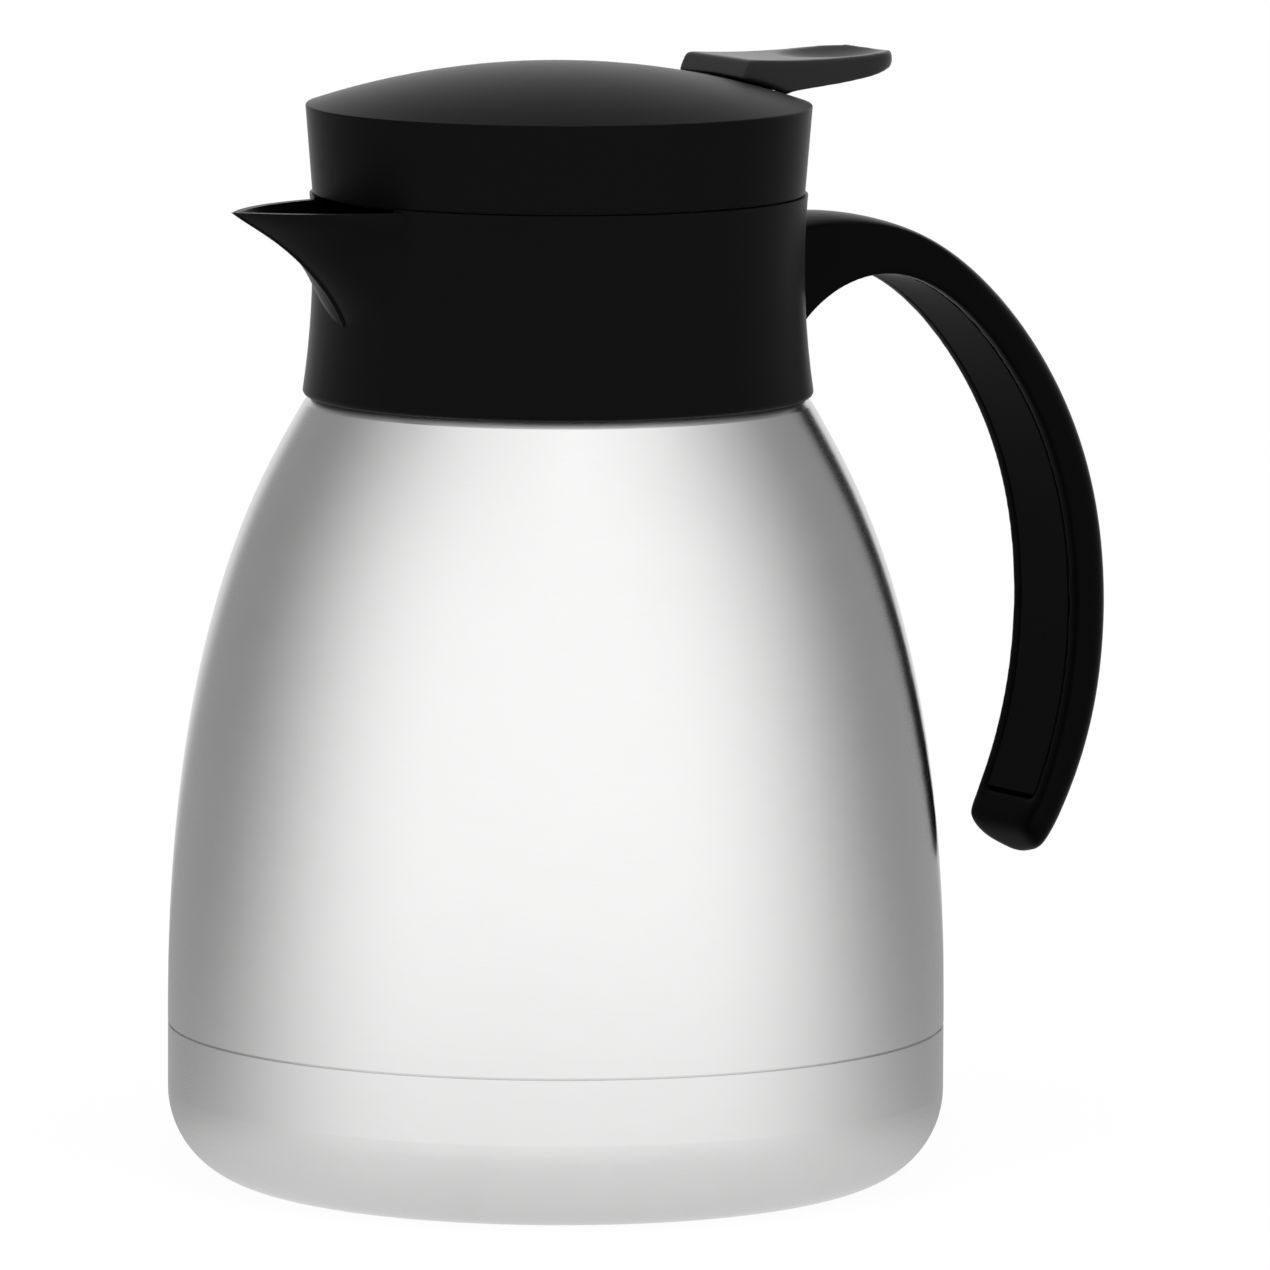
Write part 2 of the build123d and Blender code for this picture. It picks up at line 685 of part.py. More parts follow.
# Stopper body: flange, plug with pour windows, valve seat and stem guide.
flange_radius = lid_inner_foot - flange_clearance
plug_inner = plug_radius - plug_wall
with BuildPart() as stopper_body:
    with BuildSketch(Plane.XY.offset(flange_bottom)):
        Circle(flange_radius)
    extrude(amount=flange_thickness)
    chamfer(stopper_body.edges().group_by(Axis.Z)[0], 0.6)
    with BuildSketch(Plane.XY.offset(plug_bottom)):
        Circle(plug_radius)
        Circle(plug_inner, mode=Mode.SUBTRACT)
    extrude(amount=flange_bottom - plug_bottom)
    with BuildSketch(Plane.XY.offset(plug_bottom)):
        Circle(plug_inner)
        Circle(valve_opening, mode=Mode.SUBTRACT)
    extrude(amount=plate_thickness)
    chamfer(stopper_body.edges().filter_by(GeomType.CIRCLE).group_by(Axis.Z)[0].sort_by(SortBy.RADIUS)[-1], 1.2)
    with BuildSketch(Plane.XY.offset(groove_bottom)):
        Circle(plug_radius)
        Circle(plug_radius - groove_depth, mode=Mode.SUBTRACT)
    extrude(amount=groove_height, mode=Mode.SUBTRACT)
    with BuildSketch(Plane.XY.offset(flange_bottom)):
        Circle(guide_radius)
    extrude(amount=-guide_length)
    with PolarLocations(plug_radius, window_count):
        with Locations((0, 0, window_bottom + window_height / 2)):
            Box(4 * plug_wall, window_width, window_height, mode=Mode.SUBTRACT)
    with BuildSketch(Plane.XY.offset(flange_top)):
        Circle(stem_seal_radius)
    extrude(amount=-stem_seal_height, mode=Mode.SUBTRACT)
    with BuildSketch(Plane.XY.offset(flange_top)):
        Circle(stem_radius + stem_fit)
    extrude(amount=-flange_thickness - guide_length, mode=Mode.SUBTRACT)
    with BuildSketch(Plane.XY.offset(flange_bottom)):
        with PolarLocations(post_circle, post_count, start_angle=post_turn):
            Circle(lid_screw_head)
    extrude(amount=lid_screw_head_height, mode=Mode.SUBTRACT)
    with BuildSketch(Plane.XY.offset(flange_bottom)):
        with PolarLocations(post_circle, post_count, start_angle=post_turn):
            Circle(lid_screw_radius)
    extrude(amount=flange_thickness, mode=Mode.SUBTRACT)
stopper_body.part.label = "stopper_body"
export_step(stopper_body.part, "parts/stopper_body.step")

with BuildPart() as lid_screws:
    with BuildSketch(Plane.XY.offset(flange_bottom)):
        with PolarLocations(post_circle, post_count, start_angle=post_turn):
            Circle(lid_screw_head)
    extrude(amount=lid_screw_head_height)
    with BuildSketch(Plane.XY.offset(flange_bottom)):
        with PolarLocations(post_circle, post_count, start_angle=post_turn):
            Circle(lid_screw_radius)
    extrude(amount=lid_screw_length)
lid_screws.part.label = "lid_screws"
export_step(lid_screws.part, "parts/lid_screws.step")

with BuildPart() as stopper_gasket:
    with BuildSketch(Plane.XY.offset(groove_bottom + gasket_fit)):
        Circle(throat_radius - gasket_fit)
        Circle(plug_radius - groove_depth + gasket_fit, mode=Mode.SUBTRACT)
    extrude(amount=groove_height - 2 * gasket_fit)
stopper_gasket.part.label = "stopper_gasket"
export_step(stopper_gasket.part, "parts/stopper_gasket.step")

with BuildPart() as stem_seal:
    with BuildSketch(Plane.XY.offset(flange_top)):
        Circle(stem_seal_radius)
        Circle(stem_radius + stem_fit, mode=Mode.SUBTRACT)
    extrude(amount=-stem_seal_height)
stem_seal.part.label = "stem_seal"
export_step(stem_seal.part, "parts/stem_seal.step")

# Pour valve: stem, cap, disc, seal and nut.
with BuildPart() as valve_stem:
    with BuildSketch(Plane.XY.offset(valve_bottom - nut_height)):
        Circle(stem_radius)
    extrude(amount=cap_bottom - valve_bottom + nut_height)
valve_stem.part.label = "valve_stem"
export_step(valve_stem.part, "parts/valve_stem.step")

with BuildPart() as stem_cap:
    with BuildSketch(Plane.XY.offset(cap_bottom)):
        Circle(cap_radius)
    extrude(amount=cap_height)
    chamfer(stem_cap.edges().group_by(Axis.Z)[-1], 0.5)
stem_cap.part.label = "stem_cap"
export_step(stem_cap.part, "parts/stem_cap.step")

with BuildPart() as valve_disc:
    with BuildSketch(Plane.XY.offset(disc_bottom)):
        Circle(valve_radius)
    extrude(amount=valve_disc_thickness)
    with BuildSketch(Plane.XY.offset(disc_top)):
        Circle(valve_hub_radius)
    extrude(amount=valve_hub_height)
    with BuildSketch(Plane.XY.offset(disc_bottom)):
        Circle(stem_radius)
    extrude(amount=valve_disc_thickness + valve_hub_height, mode=Mode.SUBTRACT)
valve_disc.part.label = "valve_disc"
export_step(valve_disc.part, "parts/valve_disc.step")

with BuildPart() as valve_gasket:
    with BuildSketch(Plane.XY.offset(valve_bottom)):
        Circle(valve_radius + 0.6)
        Circle(stem_radius, mode=Mode.SUBTRACT)
    extrude(amount=valve_gasket_thickness)
valve_gasket.part.label = "valve_gasket"
export_step(valve_gasket.part, "parts/valve_gasket.step")

with BuildPart() as valve_nut:
    with BuildSketch(Plane.XY.offset(valve_bottom)):
        RegularPolygon(nut_radius, 6)
        Circle(stem_radius, mode=Mode.SUBTRACT)
    extrude(amount=-nut_height)
valve_nut.part.label = "valve_nut"
export_step(valve_nut.part, "parts/valve_nut.step")

# Return spring between the valve disc and the stem guide.
spring_bottom = disc_top + spring_gap + spring_wire
spring_length = guide_bottom - spring_gap - spring_wire - spring_bottom
with BuildPart() as return_spring:
    with BuildLine():
        coil = Helix(spring_length / spring_turns, spring_length, spring_radius, (0, 0, spring_bottom))
    with BuildSketch(coil ^ 0):
        Circle(spring_wire)
    sweep()
return_spring.part.label = "return_spring"
export_step(return_spring.part, "parts/return_spring.step")

# Thumb lever: dished blade, leg, hub, and the forked arm under the stem cap.
dish_sweep = (dish_half_width**2 + dish_depth**2) / (2 * dish_depth)
dish_bottom = apex + dish_rim - dish_depth
dish_axis = dish_bottom + dish_sweep
dish_round = (dish_half_length**2 + dish_depth**2) / (2 * dish_depth)
dish_reach = dish_half_length * dish_overshoot
dish_end = dish_bottom + dish_round - sqrt(dish_round**2 - dish_reach**2)
with BuildPart() as thumb_bowl:
    with BuildSketch(Plane.XZ):
        with BuildLine():
            Polyline(
                (dish_centre + dish_reach, dish_end),
                (dish_centre + dish_reach, dish_axis),
                (dish_centre - dish_reach, dish_axis),
                (dish_centre - dish_reach, dish_end),
            )
            ThreePointArc(
                (dish_centre - dish_reach, dish_end),
                (dish_centre, dish_bottom),
                (dish_centre + dish_reach, dish_end),
            )
        make_face()
    revolve(axis=Axis((0, 0, dish_axis), (1, 0, 0)))

front_top, waist_top, tail_top = [apex + height for height in blade_top_curve]
heel, belly = [(reach, apex + height) for reach, height in blade_underside]
tail_bottom = apex + blade_tail_bottom
with BuildPart() as lever_blade:
    with BuildSketch(Plane.XZ):
        with BuildLine():
            Polyline(
                heel,
                (blade_front, pivot_z),
                (blade_front, dome_height(blade_front) - blade_gap),
                (blade_front + blade_lean, front_top),
            )
            ThreePointArc(
                (blade_front + blade_lean, front_top),
                ((blade_front + blade_lean + blade_tail) / 2, waist_top),
                (blade_tail, tail_top),
            )
            Line((blade_tail, tail_top), (blade_tail, tail_bottom))
            Spline((blade_tail, tail_bottom), belly, heel)
        make_face()
    extrude(amount=blade_half_width, both=True)
    with BuildSketch(Plane.XY.offset(pivot_z)) as blade_plan:
        with Locations(((blade_front + blade_tail) / 2, 0)):
            Rectangle(blade_tail - blade_front, 2 * blade_half_width)
        fillet(blade_plan.vertices().group_by(Axis.X)[-1], tail_round)
        fillet(blade_plan.vertices().group_by(Axis.X)[0], blade_corner_round)
    extrude(amount=2 * (tail_top - pivot_z), mode=Mode.INTERSECT)
    with Locations((0, 0, dome_centre)):
        Sphere(dome_radius + blade_gap, mode=Mode.SUBTRACT)
    fillet(lever_blade.faces().sort_by(Axis.Z)[-1].edges(), blade_edge_round)
    add(thumb_bowl.part, mode=Mode.SUBTRACT)

arm_stations = [
    ((0, fork_height), fork_radius),
    ((arm_shoulder, fork_height), knee_radius),
    ((pivot_x, pivot_z), hub_radius),
]
with BuildPart() as thumb_lever:
    for near, far in ((0, 1), (1, 2)):
        with BuildSketch(Plane.XZ):
            for place, radius in (arm_stations[near], arm_stations[far]):
                with Locations(place):
                    Circle(radius)
            make_hull()
        extrude(amount=hub_half_width, both=True)
    with BuildSketch(Plane.XY.offset(fork_height - fork_radius)):
        with BuildLine():
            waist = Polyline(
                (pivot_x + hub_radius, 0),
                (pivot_x + hub_radius, hub_half_width),
                (pivot_x - hub_radius, hub_half_width),
                (pivot_x - arm_shoulder, arm_half_width),
                (arm_shoulder + fork_slot, arm_half_width),
                (arm_shoulder, fork_half_width),
                (-fork_radius, fork_half_width),
                (-fork_radius, 0),
            )
            mirror(waist, about=Plane.XZ)
        make_face()
        with Locations((-2 * fork_slot + stem_radius, 0)):
            SlotCenterToCenter(4 * fork_slot, fork_slot, mode=Mode.SUBTRACT)
    extrude(amount=pivot_z + hub_radius, mode=Mode.INTERSECT)
    with BuildSketch(Plane.XY.offset(pivot_z)):
        with Locations(((leg_front + leg_back) / 2, 0)):
            Rectangle(leg_back - leg_front, 2 * hub_half_width)
    extrude(amount=(front_top + heel[1]) / 2 - pivot_z)
    add(lever_blade.part)
    with BuildSketch(Plane.XZ):
        with Locations((pivot_x, pivot_z)):
            Circle(pin_radius + pin_fit)
    extrude(amount=2 * hub_half_width, both=True, mode=Mode.SUBTRACT)
thumb_lever.part.label = "thumb_lever"
export_step(thumb_lever.part, "parts/thumb_lever.step")
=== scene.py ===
from math import cos, radians, sin

import bmesh
import bpy
import numpy as np
from mathutils import Matrix, Vector


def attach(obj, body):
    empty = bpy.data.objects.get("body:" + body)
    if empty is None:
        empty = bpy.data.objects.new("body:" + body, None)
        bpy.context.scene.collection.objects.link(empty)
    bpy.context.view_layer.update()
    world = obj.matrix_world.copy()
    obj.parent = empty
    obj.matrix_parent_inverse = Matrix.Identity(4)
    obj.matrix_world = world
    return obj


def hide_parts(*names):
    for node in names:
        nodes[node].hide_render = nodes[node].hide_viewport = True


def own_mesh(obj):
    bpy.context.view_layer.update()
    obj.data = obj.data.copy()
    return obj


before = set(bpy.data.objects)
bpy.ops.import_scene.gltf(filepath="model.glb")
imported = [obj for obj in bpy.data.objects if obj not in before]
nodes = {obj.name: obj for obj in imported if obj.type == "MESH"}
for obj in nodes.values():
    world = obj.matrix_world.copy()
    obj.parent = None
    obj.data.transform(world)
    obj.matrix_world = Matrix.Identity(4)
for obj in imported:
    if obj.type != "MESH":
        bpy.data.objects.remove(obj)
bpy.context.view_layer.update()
mm = 0.001


def addNode(tree, kind, settings=None, sockets=None):
    # one shader node: its settings come first, then each socket gets a value or a link
    node = tree.nodes.new(kind)
    for name, value in (settings or {}).items():
        setattr(node, name, value)
    for name, value in (sockets or {}).items():
        if isinstance(value, Value):
            value = value.socket
        if isinstance(value, bpy.types.NodeSocket):
            tree.links.new(value, node.inputs[name])
        else:
            node.inputs[name].default_value = value
    return node


class Value:  # one shader socket, with Python's own operators
    def __init__(self, tree, socket):
        self.tree, self.socket = tree, socket

    def math(self, operation, *terms, clamp=False):
        settings = {"operation": operation, "use_clamp": clamp}
        sockets = dict(enumerate((self, *terms)))
        return Value(self.tree, addNode(self.tree, "ShaderNodeMath", settings, sockets).outputs[0])

    def reflected(self, operation, number):  # the number comes first, the socket second
        sockets = {0: number, 1: self}
        node = addNode(self.tree, "ShaderNodeMath", {"operation": operation}, sockets)
        return Value(self.tree, node.outputs[0])

    def __add__(self, other): return self.math("ADD", other)
    def __radd__(self, other): return self.reflected("ADD", other)
    def __sub__(self, other): return self.math("SUBTRACT", other)
    def __rsub__(self, other): return self.reflected("SUBTRACT", other)
    def __mul__(self, other): return self.math("MULTIPLY", other)
    def __rmul__(self, other): return self.reflected("MULTIPLY", other)
    def __truediv__(self, other): return self.math("DIVIDE", other)
    def __rtruediv__(self, other): return self.reflected("DIVIDE", other)
    def __pow__(self, other): return self.math("POWER", other)

    def atLeast(self, other): return self.math("MAXIMUM", other)

    def step(self, low, high):  # 0 below low, 1 above high, smooth between
        settings = {"interpolation_type": "SMOOTHSTEP"}
        sockets = {"Value": self, "From Min": low, "From Max": high}
        node = addNode(self.tree, "ShaderNodeMapRange", settings, sockets)
        return Value(self.tree, node.outputs["Result"])


class Finish:  # a material: one Principled shader and the nodes that feed it
    def __init__(self, name, color, roughness, **fixed):
        self.material = bpy.data.materials.new(name)
        self.material.use_nodes = True
        self.tree = self.material.node_tree
        self.tree.nodes.clear()
        sockets = {"Base Color": (*color, 1), "Roughness": roughness}
        sockets |= {socket.replace("_", " "): value for socket, value in fixed.items()}
        self.shader = self.node("ShaderNodeBsdfPrincipled", None, sockets)
        surface = {"Surface": self.shader.outputs["BSDF"]}
        self.out = self.node("ShaderNodeOutputMaterial", None, surface)
        self.place = self.node("ShaderNodeTexCoord").outputs["Object"]

    def node(self, kind, settings=None, sockets=None):
        return addNode(self.tree, kind, settings, sockets)

    def radius(self):  # distance from the carafe's upright axis
        split = self.node("ShaderNodeSeparateXYZ", None, {"Vector": self.place})
        x, y = (Value(self.tree, split.outputs[letter]) for letter in "XY")
        return (x * x + y * y).math("SQRT")

    def slant(self):  # 0 where the surface is seen square on, 1 at its edge
        weight = self.node("ShaderNodeLayerWeight", None, {"Blend": 0.5})
        return Value(self.tree, weight.outputs["Facing"])

    def noise(self, across, along, detail, rough, shift=(0, 0, 0)):
        # a cloud from 0 to 1, of size across in the plan and size along in height
        scale = (1 / across, 1 / across, 1 / along)
        place = {"Vector": self.place, "Location": shift, "Scale": scale}
        warp = self.node("ShaderNodeMapping", {"vector_type": "POINT"}, place)
        sockets = {
            "Vector": warp.outputs["Vector"], "Scale": 1.0, "Detail": detail, "Roughness": rough,
        }
        return Value(self.tree, self.node("ShaderNodeTexNoise", None, sockets).outputs["Fac"])

    def feed(self, socket, value):  # what varies over the surface goes into the shader
        self.tree.links.new(value, self.shader.inputs[socket])

    def tint(self, color, dark, light, mask):
        # the colour runs from its dark share to its light share as the mask rises
        low, high = ((*shade(color, share), 1) for share in (dark, light))
        mix = self.node("ShaderNodeMix", {"data_type": "RGBA"}, {0: mask, 6: low, 7: high})
        self.feed("Base Color", mix.outputs[2])

    def rough(self, value):  # held between 0 and 1
        self.feed("Roughness", value.math("ADD", 0.0, clamp=True).socket)

    def bump(self, height, depth, strength):  # relief of this depth where height goes from 0 to 1
        sockets = {"Height": height, "Distance": depth, "Strength": strength}
        self.feed("Normal", self.node("ShaderNodeBump", None, sockets).outputs["Normal"])


def shade(color, factor):
    return tuple(min(1.0, c * factor) for c in color)


# Brushed steel: fine grooves run round the body.
steel = {
    "color": (0.72, 0.72, 0.717),
    "across": 9.0 * mm,  # length of a streak round the body
    "along": 0.16 * mm,  # and its height
    "fineAcross": 0.35,  # finer streaks between them, as shares of these two
    "fineAlong": 0.45,
    "streakShare": 0.6,  # the rest of the grain is the finer streaks
    "streakNoise": (4.0, 0.62),  # detail and roughness of the noise
    "fineNoise": (2.0, 0.55),
    "cloud": 13.0 * mm,  # slow change of tint and roughness
    "cloudAlong": 0.55,
    "cloudNoise": (3.0, 0.6),
    "grainShare": 0.6,  # the rest of the tint is the cloud
    "dark": 0.93,
    "light": 1.07,
    "roughGrain": 0.12,
    "roughCloud": 0.06,
    "limb": 5.0,  # shinier where seen at a slant: the power of the slant
    "limbGloss": 0.30,  # and the roughness that it takes away
    "depth": 0.012 * mm,
    "strength": 0.55,
    "grooveTurn": 0.25,  # direction of the long highlight, as a share of a full turn
}


def brushedSteel(name, roughness, anisotropic):
    finish = Finish(
        name, steel["color"], roughness, Metallic=1.0,
        Anisotropic=anisotropic, Anisotropic_Rotation=steel["grooveTurn"],
    )
    across, along = steel["across"], steel["along"]
    streaks = finish.noise(across, along, *steel["streakNoise"])
    across, along = across * steel["fineAcross"], along * steel["fineAlong"]
    fine = finish.noise(across, along, *steel["fineNoise"])
    across, along = steel["cloud"], steel["cloud"] * steel["cloudAlong"]
    cloud = finish.noise(across, along, *steel["cloudNoise"])
    grain = streaks * steel["streakShare"] + fine * (1 - steel["streakShare"])
    mask = grain * steel["grainShare"] + cloud * (1 - steel["grainShare"])
    finish.tint(steel["color"], steel["dark"], steel["light"], mask)
    limb = finish.slant() ** steel["limb"]
    level = roughness - (steel["roughGrain"] + steel["roughCloud"]) / 2
    spread = grain * steel["roughGrain"] + cloud * steel["roughCloud"]
    finish.rough(level + spread - limb * steel["limbGloss"])
    finish.bump(grain, steel["depth"], steel["strength"])
    return finish.material


# Moulded plastic: a matt skin whose sheen grows where it is seen at a slant.
moulding = {
    "grainNoise": (2.0, 0.5),  # detail and roughness of the noise
    "flowAcross": 22 * mm,  # slow change of tint and roughness
    "flowAlong": 30 * mm,
    "flowNoise": (3.0, 0.5),
    "flowShift": (3.1, 1.7, 0.4),
    "flowShare": 0.6,  # the rest of the tint is the grain
    "dark": 0.85,
    "light": 1.2,
    "roughDrop": 0.06,
    "roughFlow": 0.07,
    "roughGrain": 0.06,
    "strength": 0.5,
}


def mouldedPlastic(name, color, roughness, grain, depth, level=0.04, gloss=3.0, coatIor=1.5):
    finish = Finish(
        name, color, roughness,
        Specular_IOR_Level=level, Coat_Roughness=roughness, Coat_IOR=coatIor,
    )
    finish.feed("Coat Weight", (finish.slant() ** gloss).socket)
    spark = finish.noise(grain, grain, *moulding["grainNoise"])
    across, along = moulding["flowAcross"], moulding["flowAlong"]
    flow = finish.noise(across, along, *moulding["flowNoise"], moulding["flowShift"])
    mask = flow * moulding["flowShare"] + spark * (1 - moulding["flowShare"])
    finish.tint(color, moulding["dark"], moulding["light"], mask)
    spread = flow * moulding["roughFlow"] + spark * moulding["roughGrain"]
    finish.rough(roughness - moulding["roughDrop"] + spread)
    finish.bump(spark, depth, moulding["strength"])
    return finish.material


# Rubber, silicone, glass and getter: an even skin with a fine grain and some dust in it.
skin = {
    "grainNoise": (3.0, 0.6),  # detail and roughness of the noise
    "dust": 9 * mm,
    "dustNoise": (4.0, 0.65),
    "dustShift": (0.3, 2.2, 1.1),
    "dark": 0.8,
    "light": 1.25,
    "roughDust": 0.1,
    "strength": 0.6,
}


def rubberLike(name, color, roughness, grain, depth, **fixed):
    finish = Finish(name, color, roughness, **fixed)
    spark = finish.noise(grain, grain, *skin["grainNoise"])
    dust = finish.noise(skin["dust"], skin["dust"], *skin["dustNoise"], skin["dustShift"])
    finish.tint(color, skin["dark"], skin["light"], dust)
    finish.rough(roughness - skin["roughDust"] / 2 + dust * skin["roughDust"])
    finish.bump(spark, depth, skin["strength"])
    return finish.material


# Every finish on the carafe, by what wears it. Grain is a size, depth its relief.
steels = {
    "body": {"name": "bodySteel", "roughness": 0.33, "anisotropic": 0.75},
    "flask": {"name": "flaskSteel", "roughness": 0.36, "anisotropic": 0.3},
    "fastener": {"name": "turnedSteel", "roughness": 0.28, "anisotropic": 0.2},
}
plastics = {
    "collar": {
        "color": (0.0022, 0.0022, 0.0023), "roughness": 0.42,
        "grain": 0.35 * mm, "depth": 0.012 * mm,
    },
    "lid": {
        "color": (0.0022, 0.0022, 0.0023), "roughness": 0.42,
        "grain": 0.32 * mm, "depth": 0.018 * mm, "gloss": 4.6, "coatIor": 2.0,
    },
    "handle": {
        "color": (0.0020, 0.0020, 0.0021), "roughness": 0.34,
        "grain": 0.3 * mm, "depth": 0.006 * mm, "level": 0.02, "gloss": 8.0,
    },
    "cover": {
        "color": (0.0034, 0.0034, 0.0035), "roughness": 0.48,
        "grain": 0.3 * mm, "depth": 0.006 * mm, "level": 0.03, "gloss": 14.0,
    },
    "lever": {
        "color": (0.007, 0.007, 0.0072), "roughness": 0.36,
        "grain": 0.32 * mm, "depth": 0.012 * mm, "level": 0.16, "gloss": 2.2, "coatIor": 2.4,
    },
    "stopper": {
        "color": (0.012, 0.012, 0.0125), "roughness": 0.42,
        "grain": 0.3 * mm, "depth": 0.008 * mm, "level": 0.2,
    },
}
skins = {
    "silicone": {
        "name": "sealSilicone", "color": (0.42, 0.42, 0.41), "roughness": 0.45,
        "grain": 0.4 * mm, "depth": 0.01 * mm, "Subsurface_Weight": 0.15,
    },
    "pad": {
        "name": "padRubber", "color": (0.022, 0.022, 0.023), "roughness": 0.7,
        "grain": 0.5 * mm, "depth": 0.05 * mm,
    },
    "glass": {
        "name": "sealGlass", "color": (0.16, 0.15, 0.13), "roughness": 0.3,
        "grain": 0.6 * mm, "depth": 0.01 * mm,
    },
    "getter": {
        "name": "getterMetal", "color": (0.3, 0.3, 0.31), "roughness": 0.6,
        "grain": 0.3 * mm, "depth": 0.03 * mm, "Metallic": 0.8,
    },
}
finishes = {wear: brushedSteel(**look) for wear, look in steels.items()}
finishes |= {wear: mouldedPlastic(wear + "Plastic", **look) for wear, look in plastics.items()}
finishes |= {wear: rubberLike(**look) for wear, look in skins.items()}
wears = {
    "outer_shell": "body", "base_cup": "body",
    "inner_flask": "flask", "flask_bottom": "flask",
    "exhaust_seal": "glass", "getter": "getter", "base_pad": "pad",
    "collar": "collar", "throat_ring": "stopper", "neck_gasket": "silicone",
    "handle_grip": "handle", "handle_cover": "cover", "handle_screws": "fastener",
    "lid_cap": "lid", "stopper_body": "stopper", "lid_screws": "fastener",
    "stopper_gasket": "silicone", "stem_seal": "silicone", "return_spring": "fastener",
    "thumb_lever": "lever", "lever_pin": "fastener",
    "valve_stem": "fastener", "stem_cap": "stopper", "valve_disc": "stopper",
    "valve_gasket": "silicone", "valve_nut": "fastener",
}
for name, wear in wears.items():
    for slot in nodes[name].material_slots:
        slot.material = finishes[wear]
print("finishes on the CAD nodes:", len(wears))

sharpAngle = radians(32)  # an edge that turns by more stays sharp


def addPiece(name, points, faces, finish, body):
    # a smooth mesh made of whole arrays of points and faces, in its finish, on its body
    mesh = bpy.data.meshes.new(name)
    mesh.from_pydata(points.tolist(), [], faces)
    mesh.shade_smooth()
    mesh.set_sharp_from_angle(angle=sharpAngle)
    mesh.materials.append(finish)
    piece = bpy.data.objects.new(name, mesh)
    bpy.context.scene.collection.objects.link(piece)
    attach(piece, body)
    return piece


def gridFaces(rows, columns, closedRows, closedColumns):
    # quads between neighbouring rows and columns of a grid, joined end to end where it is closed
    row = np.arange(rows if closedRows else rows - 1)
    column = np.arange(columns if closedColumns else columns - 1)
    i, j = np.meshgrid(row, column, indexing="ij")
    nextRow, nextColumn = (i + 1) % rows, (j + 1) % columns
    corners = (
        i * columns + j, nextRow * columns + j,
        nextRow * columns + nextColumn, i * columns + nextColumn,
    )
    return np.stack(corners, -1).reshape(-1, 4).tolist()


def tubeFaces(rows, columns):
    # the grid of a tube, closed round its section, with one flat face over each end
    first, last = range(columns), range((rows - 1) * columns, rows * columns)
    return gridFaces(rows, columns, False, True) + [list(first)[::-1], list(last)]


def turned(radius, angle, height):
    # point = (radius cos angle, radius sin angle, height), for arrays that fit one another
    x, y = radius * np.cos(angle), radius * np.sin(angle)
    return np.stack(np.broadcast_arrays(x, y, height), -1)


# Stopper gasket: point(u, v) is a closed profile v carried round the axis by the angle u. The
# profile's outer side is a row of rounded lips, each the root of a sine arch.
lipRing = {
    "inner": 29.05 * mm,
    "outer": 30.9 * mm,
    "bottom": 162.72 * mm,
    "top": 165.48 * mm,
    "lips": 3,
    "depth": 0.5 * mm,  # of the grooves between them
    "fullness": 0.6,  # power of the arch
    "rows": 61,
    "steps": 180,
}
v = np.linspace(0, 1, lipRing["rows"])
arch = np.abs(np.sin(np.pi * lipRing["lips"] * v)) ** lipRing["fullness"]
lipRadius = lipRing["outer"] - lipRing["depth"] * (1 - arch)
lipHeight = lipRing["bottom"] + (lipRing["top"] - lipRing["bottom"]) * v
radius = np.concatenate((lipRadius, (lipRing["inner"], lipRing["inner"])))
height = np.concatenate((lipHeight, (lipRing["top"], lipRing["bottom"])))
u = np.linspace(0, 2 * np.pi, lipRing["steps"], endpoint=False)[:, None]
points = turned(radius[None, :], u, height[None, :]).reshape(-1, 3)
faces = gridFaces(lipRing["steps"], len(radius), True, True)
gasket = addPiece(
    "lippedGasket", points, faces, finishes["silicone"], "stopper_ring"
)
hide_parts("stopper_gasket")

# Plug cams: four low ridges climb the plug and turn in under those of the throat. In
# point(u, v) the angle and the height climb with u, and v carries a sine arch over the ridge.
cams = {
    "radius": 30.3 * mm,
    "height": 0.5 * mm,
    "width": 1.5 * mm,
    "bottom": 167.6 * mm,
    "rise": 4.2 * mm,
    "span": 78,  # degrees
    "count": 4,
    "taper": 9,  # each end's taper is as long as the ridge over this
    "taperPower": 0.5,
    "fullness": 0.7,  # power of the arch
    "rows": 60,
    "columns": 14,
}
u = np.linspace(0, 1, cams["rows"])[:, None]  # along the ridge
v = np.linspace(0, 1, cams["columns"])[None, :]  # over its section
taper = np.clip(np.minimum(u, 1 - u) * cams["taper"], 0, 1) ** cams["taperPower"]
bulge = np.sin(np.pi * v) ** cams["fullness"] * cams["height"] * taper
height = cams["bottom"] + cams["rise"] * u + cams["width"] * (v - 0.5)
for index in range(cams["count"]):
    angle = radians(360 / cams["count"] * index) + radians(cams["span"]) * u
    points = turned(cams["radius"] + bulge, angle, height).reshape(-1, 3)
    faces = tubeFaces(cams["rows"], cams["columns"])
    addPiece(f"plugCam{index + 1}", points, faces, finishes["stopper"], "lid")
print("gasket and cams on the stopper")

mergeDistance = 2e-6
pull = 0.5  # share of the way that a point moves towards its neighbours' mean


